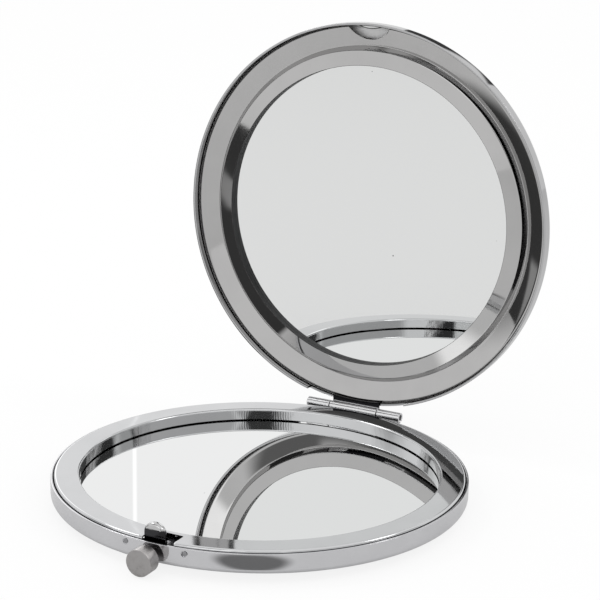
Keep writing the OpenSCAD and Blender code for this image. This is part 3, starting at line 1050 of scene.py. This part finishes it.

# %% [markdown]
# The catch is stamped and its flat is a bright plate. Its edges, the bow in front and the long
# edge at the wall, are painted dark as the shade below the ledge.

# %% Stamped ledge
catch_plate = polished("catch_plate", (0.8, 0.8, 0.8), roughness=0.3, wave_size=2.0)
ledge_x, ledge_y, _ = axis_values(place_when_shut(catch_plate.node_tree))
from_bow = span(ledge_x, ledge_y - (catch_y - bow_r) / mm)
from_axis = span(ledge_x, ledge_y)
# Painted shade: the ledge's edges are darkened in the colour.
painted_shade_edges = larger(
    fade(from_bow, bow_r / mm - 0.19, bow_r / mm - 0.12),
    fade(from_axis, wall_in / mm - 0.22, wall_in / mm - 0.16),
)
darken(catch_plate, tint(painted_shade_edges, (1, 1, 1), (0.03, 0.03, 0.03)))

# %% [markdown]
# ## Ring of the base
# The ring's flange is the same plate, but its inner wall carries fine upright grooves left by
# the press tool, worn faint in places. They follow the round, so they are worked out from the
# angle about the axis, and a mask keeps them on the wall.

# %% Grooved plate
groove_count = 620
groove_depth = 6e-6
base_ring_plate = polished("base_ring_plate", (0.665, 0.67, 0.68), roughness=0.045)
ring_where = where_on(base_ring_plate)
x, y, _ = axis_values(ring_where)
around = math_node(ring_where.tree, "ARCTAN2", y, x)
on_wall = fade(span(x, y), recess_r / mm + 0.12, recess_r / mm + 0.02)
uneven = cloud(ring_where, 1.5, detail=2.0)
grooves = math_node(ring_where.tree, "SINE", around * groove_count + 6 * uneven)
worn_in = fade(cloud(ring_where, 9, detail=1.0), 0.42, 0.62)
relief = (0.5 + 0.5 * grooves) * on_wall * (0.15 + 0.85 * worn_in)
grooved = bump(relief, groove_depth, normal=so_far(base_ring_plate, "Normal"))
shader_set(base_ring_plate, Normal=grooved)

# %% [markdown]
# ## Hinge leaves
# The rolled knuckles are bright, but less glossy than the case. The plate between knuckle and
# wall lies in the gap between lid and base, and is painted dark as the shade there, so the colour
# darkens with the distance from the pin.

# %% Knuckles and plates
hinge_plate = polished("hinge_plate", (0.8, 0.8, 0.81), roughness=0.2)
_, y, z = axis_values(where_on(hinge_plate))
from_pin = span(y - hinge.y / mm, z - hinge.z / mm)
# Painted shade: the plate darkens away from the knuckle, in the gap between lid and base.
painted_shade_share = fade(from_pin, knuckle_r / mm + 0.02, knuckle_r / mm + 0.3)
darken(hinge_plate, tint(painted_shade_share, (1, 1, 1), (0.02, 0.02, 0.022)))

# %% [markdown]
# ## Mirror glass
# A mirror is nearly perfect, so its detail is only what lies on it: a trace of haze, and the
# odd speck of dust, which is rough and darker.


# %% Mirrors
def mirror(name, colour):
    """Silvered glass with traces of handling."""
    material, where = new_finish(name)
    haze = fade(cloud(where, 14, detail=3.0), 0.45, 0.8)
    specks = fade(cells(where, 9), 0.02, 0.012)
    dulled = tuple(0.35 * c for c in colour)
    shader_set(
        material,
        Base_Color=tint(specks, colour, dulled),
        Metallic=1.0,
        Roughness=0.004 + 0.012 * haze + 0.4 * specks,
    )
    return material


base_silver = mirror("base_silver", (0.87, 0.875, 0.875))
lid_silver = mirror("lid_silver", (0.855, 0.862, 0.858))

# %% [markdown]
# ## Satin button
# The button is brushed nickel, warmer than the case. Its face is painted darker than its side, as
# shade.
# Turning left fine rings on the face, and fingers have left it a little darker low down.

# %% Brushed plate
satin = (0.5, 0.485, 0.48)
button_plate, button_where = new_finish("button_plate")
x, y, z = axis_values(button_where)
height = z - button_z / mm
turned = add_node(button_where.tree, "CombineXYZ", {"X": span(x, height), "Y": y})
rings = cloud(turned, 0.09, detail=2.0)
stains = cloud(button_where, 0.9, detail=4.0, roughness=0.65)
low_down = fade(height, 0.3, -1.4)
dirt = fade(stains, 0.45, 0.75) * (0.25 + 0.75 * low_down)
behind_face = y - button_low.y / mm
# Painted shade: the face is darker than the side.
painted_shade_on_face = tint(fade(behind_face, -0.05, 0.15), tuple(0.7 * c for c in satin), satin)
shader_set(
    button_plate,
    Base_Color=times(painted_shade_on_face, tint(dirt, (1, 1, 1), (0.62, 0.61, 0.6))),
    Metallic=1.0,
    Roughness=0.24 + 0.12 * rings,
    Normal=bump(rings, 2.5e-6),
)

# %% [markdown]
# ## Steel and foam
# The hinge pin and the guide, stem end and springs inside the latch are plain rolled steel,
# duller and with a grain along the strip. The pads are black foam rubber with small closed
# cells, and the black band of painted shade in the lid looks like moulded rubber with a smooth
# skin.


# %% Steel
def rolled_steel(name, colour):
    """Dull sheet with a rolling grain."""
    material, where = new_finish(name)
    grain = cloud(where, 0.12, detail=3.0, stretch=(0.1, 1, 1))
    stain = cloud(where, 2.5, detail=4.0)
    dark = tuple(0.75 * c for c in colour)
    shader_set(
        material,
        Base_Color=tint(fade(stain, 0.35, 0.7), colour, dark),
        Metallic=1.0,
        Roughness=0.26 + 0.16 * grain,
        Normal=bump(grain, 3e-6),
    )
    return material


guide_steel = rolled_steel("guide_steel", (0.09, 0.09, 0.095))
pin_steel = rolled_steel("pin_steel", (0.1, 0.1, 0.105))
spring_wire = rolled_steel("spring_wire", (0.45, 0.45, 0.46))

# %% Foam and rubber
soot = (0.012, 0.012, 0.013)
black_foam, foam_where = new_finish("black_foam")
walls = fade(cells(foam_where, 1 / 2.6), 0.15, 0.6)
shader_set(
    black_foam,
    Base_Color=tint(walls, soot, tuple(1.7 * c for c in soot)),
    Roughness=0.75 + 0.2 * walls,
    Specular_IOR_Level=0.25,
    Normal=bump(walls, 4e-5),
)
# The black band in the lid is painted shade. It gets the look of moulded rubber with a smooth
# skin.
shade_band_rubber, shade_band_where = new_finish("shade_band_rubber")
skin = cloud(shade_band_where, 0.25, detail=3.0)
shader_set(
    shade_band_rubber,
    Base_Color=tint(skin, soot, tuple(1.5 * c for c in soot)),
    Roughness=0.38 + 0.2 * skin,
    Specular_IOR_Level=0.3,
    Normal=bump(skin, 1e-6),
)

# %% Give each piece its finish
finishes = {
    base_case: case_plate,
    lid_case: shaded_lid_case_plate,
    base_ring: base_ring_plate,
    lid_ring: shaded_lid_ring_plate,
    shade_band: shade_band_rubber,
    base_glass: base_silver,
    lid_glass: lid_silver,
    base_foam: black_foam,
    lid_foam: black_foam,
    base_leaf: hinge_plate,
    lid_leaf: hinge_plate,
    hinge_pin: pin_steel,
    button: button_plate,
    hook: hook_plate,
    springs: spring_wire,
    rivets: rivet_plate,
    frame["nodes"]["latch_guide"]: guide_steel,
    frame["nodes"]["stem_washer"]: guide_steel,
    catch: catch_plate,
}
for piece, finish in finishes.items():
    piece.data.materials.clear()
    piece.data.materials.append(finish)
print(len(finishes), "pieces finished")

# %% [markdown]
# ## Studio
# The picture is a product shot on white. The world is white for the camera and plain white for
# the light on the object. Polished metal shows what stands round it, so for reflections alone
# the world is a light tent. Its dark parts are two gaps high up, a curtain low on the left, the
# camera, a grey wall on the right and a black flag behind. A bright panel hangs in front, and a
# lit edge stands at the back on the left, beside a thin seam that shows as a streak in the
# mirror. Each part is a patch between two bearings and two heights in degrees, with soft edges,
# and its last number is its brightness.

# %% World
world = bpy.data.worlds.new("studio")
bpy.context.scene.world = world
world.use_nodes = True
sky = world.node_tree
direction = add_node(sky, "TexCoord", {}, "Generated")
way_x, way_y, way_z = axis_values(direction)
bearing = math_node(sky, "ARCTAN2", way_y, way_x) * math.degrees(1)
lift = math_node(sky, "ARCSINE", way_z) * math.degrees(1)


def patch(bearings, lifts, soft):
    """A soft-edged part of the tent."""
    sides = fade(bearing, bearings[0] - soft, bearings[0] + soft)
    sides = sides * fade(bearing, bearings[1] + soft, bearings[1] - soft)
    levels = fade(lift, lifts[0] - soft, lifts[0] + soft)
    return sides * levels * fade(lift, lifts[1] + soft, lifts[1] - soft)


def ray_kinds(tree):
    """Tells whether a ray comes from the camera, and whether from a reflection."""
    camera_ray = add_node(tree, "LightPath", {}, "Is Camera Ray")
    return camera_ray, Value(tree, camera_ray.socket.node.outputs["Is Glossy Ray"])


tent_parts = {
    "gap high up on the left": ((-172, -119), (41, 58), 2.5, 0.12),
    "gap high up in front": ((-124, -88), (51, 66), 2.5, 0.2),
    "curtain low on the left": ((-165, -146), (-8, 20), 5.0, 0.3),
    "camera": ((-76, -50), (13, 25), 1.5, 0.05),
    "grey wall on the right": ((-46, 35), (4, 27), 4.0, 0.52),
    "black flag behind": ((84, 110), (13, 21.9), 0.4, 0.06),
    "bright panel in front": ((-103, -69), (29, 41), 1.5, 1.8),
    "lit edge at the back": ((127, 141), (6, 32), 2.0, 1.7),
    "thin seam beside it": ((122.54, 122.66), (2, 45), 0.04, 1.15),
}
tent_cloth = 0.95
in_metal = tent_cloth
for bearings, lifts, soft, level in tent_parts.values():
    in_metal = in_metal + patch(bearings, lifts, soft) * (level - in_metal)
camera_ray, mirror_ray = ray_kinds(sky)
strength = camera_ray + (1 - camera_ray) * (mirror_ray * in_metal + (1 - mirror_ray))
background = sky.nodes["Background"]
background.inputs["Color"].default_value = (1, 1, 1, 1)
connect(sky, background.inputs["Strength"], strength)
print("parts in the tent:", ", ".join(tent_parts))

# %% [markdown]
# ## Table
# The table is pale paper that keeps a soft shadow. Its reflection is a little dimmer than the
# paper itself. On its left, outside the picture, lies black cloth with a paler strip across it,
# which puts the dark bands in the lid's ring, and a small black card lies close in front, which
# gives the wall of the base its dark streak. Both are seen in reflections only.

# %% Table
bpy.ops.mesh.primitive_plane_add(size=6, location=(0, 0, -0.00002))
floor = bpy.context.object
floor.name = "floor"
paper, on_paper = new_finish("paper")
paper_tree = paper.node_tree
paper_x, paper_y, _ = axis_values(on_paper)
near_cloth = fade(paper_y, -14, -8) * fade(paper_x, -35, -38)
slanted_cloth = fade(paper_x - paper_y, -42, -54) * fade(paper_x, -48, -56)
strip_slope = 0.714
strip_start = 41
off_strip = math_node(paper_tree, "ABSOLUTE", paper_y - strip_slope * paper_x - strip_start)
strip = fade(off_strip, 9, 4) * fade(paper_x, -150, -172)
cloth = larger(near_cloth, slanted_cloth) * fade(paper_y, 60, 40) * (1 - 0.45 * strip)

# %% Card on the table
card_cos, card_sin = 0.87, 0.5
card_half_l, card_half_w = 9, 3.6
card_middle = (19, -38.5)
card_x = paper_x - card_middle[0]
card_y = paper_y - card_middle[1]
card_along = (card_cos * card_x + card_sin * card_y) / card_half_l
card_across = (card_cos * card_y - card_sin * card_x) / card_half_w
card = 0.8 * fade(span(card_along, card_across), 1.2, 0.7)
dark_share = 0.94 * larger(cloth, card)
shader_set(
    paper,
    Base_Color=tint(cloud(on_paper, 0.8), (0.93, 0.93, 0.93), (0.91, 0.91, 0.91)),
    Roughness=0.9,
    Specular_IOR_Level=0.0,
)
paper_ray, paper_mirror = ray_kinds(paper_tree)


def mix_shaders(factor, first, second):
    """Goes from one shader to another as the factor goes from 0 to 1."""
    mixed = add_node(paper_tree, "MixShader", {0: factor})
    paper_tree.links.new(first, mixed.socket.node.inputs[1])
    paper_tree.links.new(second, mixed.socket.node.inputs[2])
    return mixed.socket


glow_share = 0.84
dim_share = 0.4
glow = add_node(paper_tree, "Emission", {"Strength": 1.0})
dim_glow = add_node(paper_tree, "Emission", {"Strength": 0.55})
lit = paper_tree.nodes["Principled BSDF"].outputs[0]
for_camera = mix_shaders(glow_share * paper_ray, lit, glow.socket)
for_metal = mix_shaders(dim_share * paper_mirror, for_camera, dim_glow.socket)
black = add_node(paper_tree, "BsdfDiffuse", {"Color": (0.01, 0.01, 0.01, 1)})
seen = mix_shaders(paper_mirror * dark_share, for_metal, black.socket)
paper_tree.links.new(seen, paper_tree.nodes["Material Output"].inputs["Surface"])
floor.data.materials.append(paper)


# %% Softboxes
def softbox(name, toward, distance, size, energy):
    """A square lamp in a direction from the object, turned to it."""
    middle = Vector((0, 0, 0.03))
    lamp = bpy.data.lights.new(name, "AREA")
    lamp.size = size
    lamp.energy = energy
    lamp_object = bpy.data.objects.new(name, lamp)
    bpy.context.scene.collection.objects.link(lamp_object)
    way = Vector(toward).normalized()
    lamp_object.location = middle + way * distance
    lamp_object.rotation_euler = (-way).to_track_quat("-Z", "Y").to_euler()
    lamp_object.visible_camera = False


softbox("left softbox", (-0.634, -0.056, 0.775), 0.6, 0.16, 0.3)
softbox("right softbox", (0.702, 0.247, 0.653), 0.6, 0.14, 0.22)
bpy.context.scene.view_settings.view_transform = "Standard"
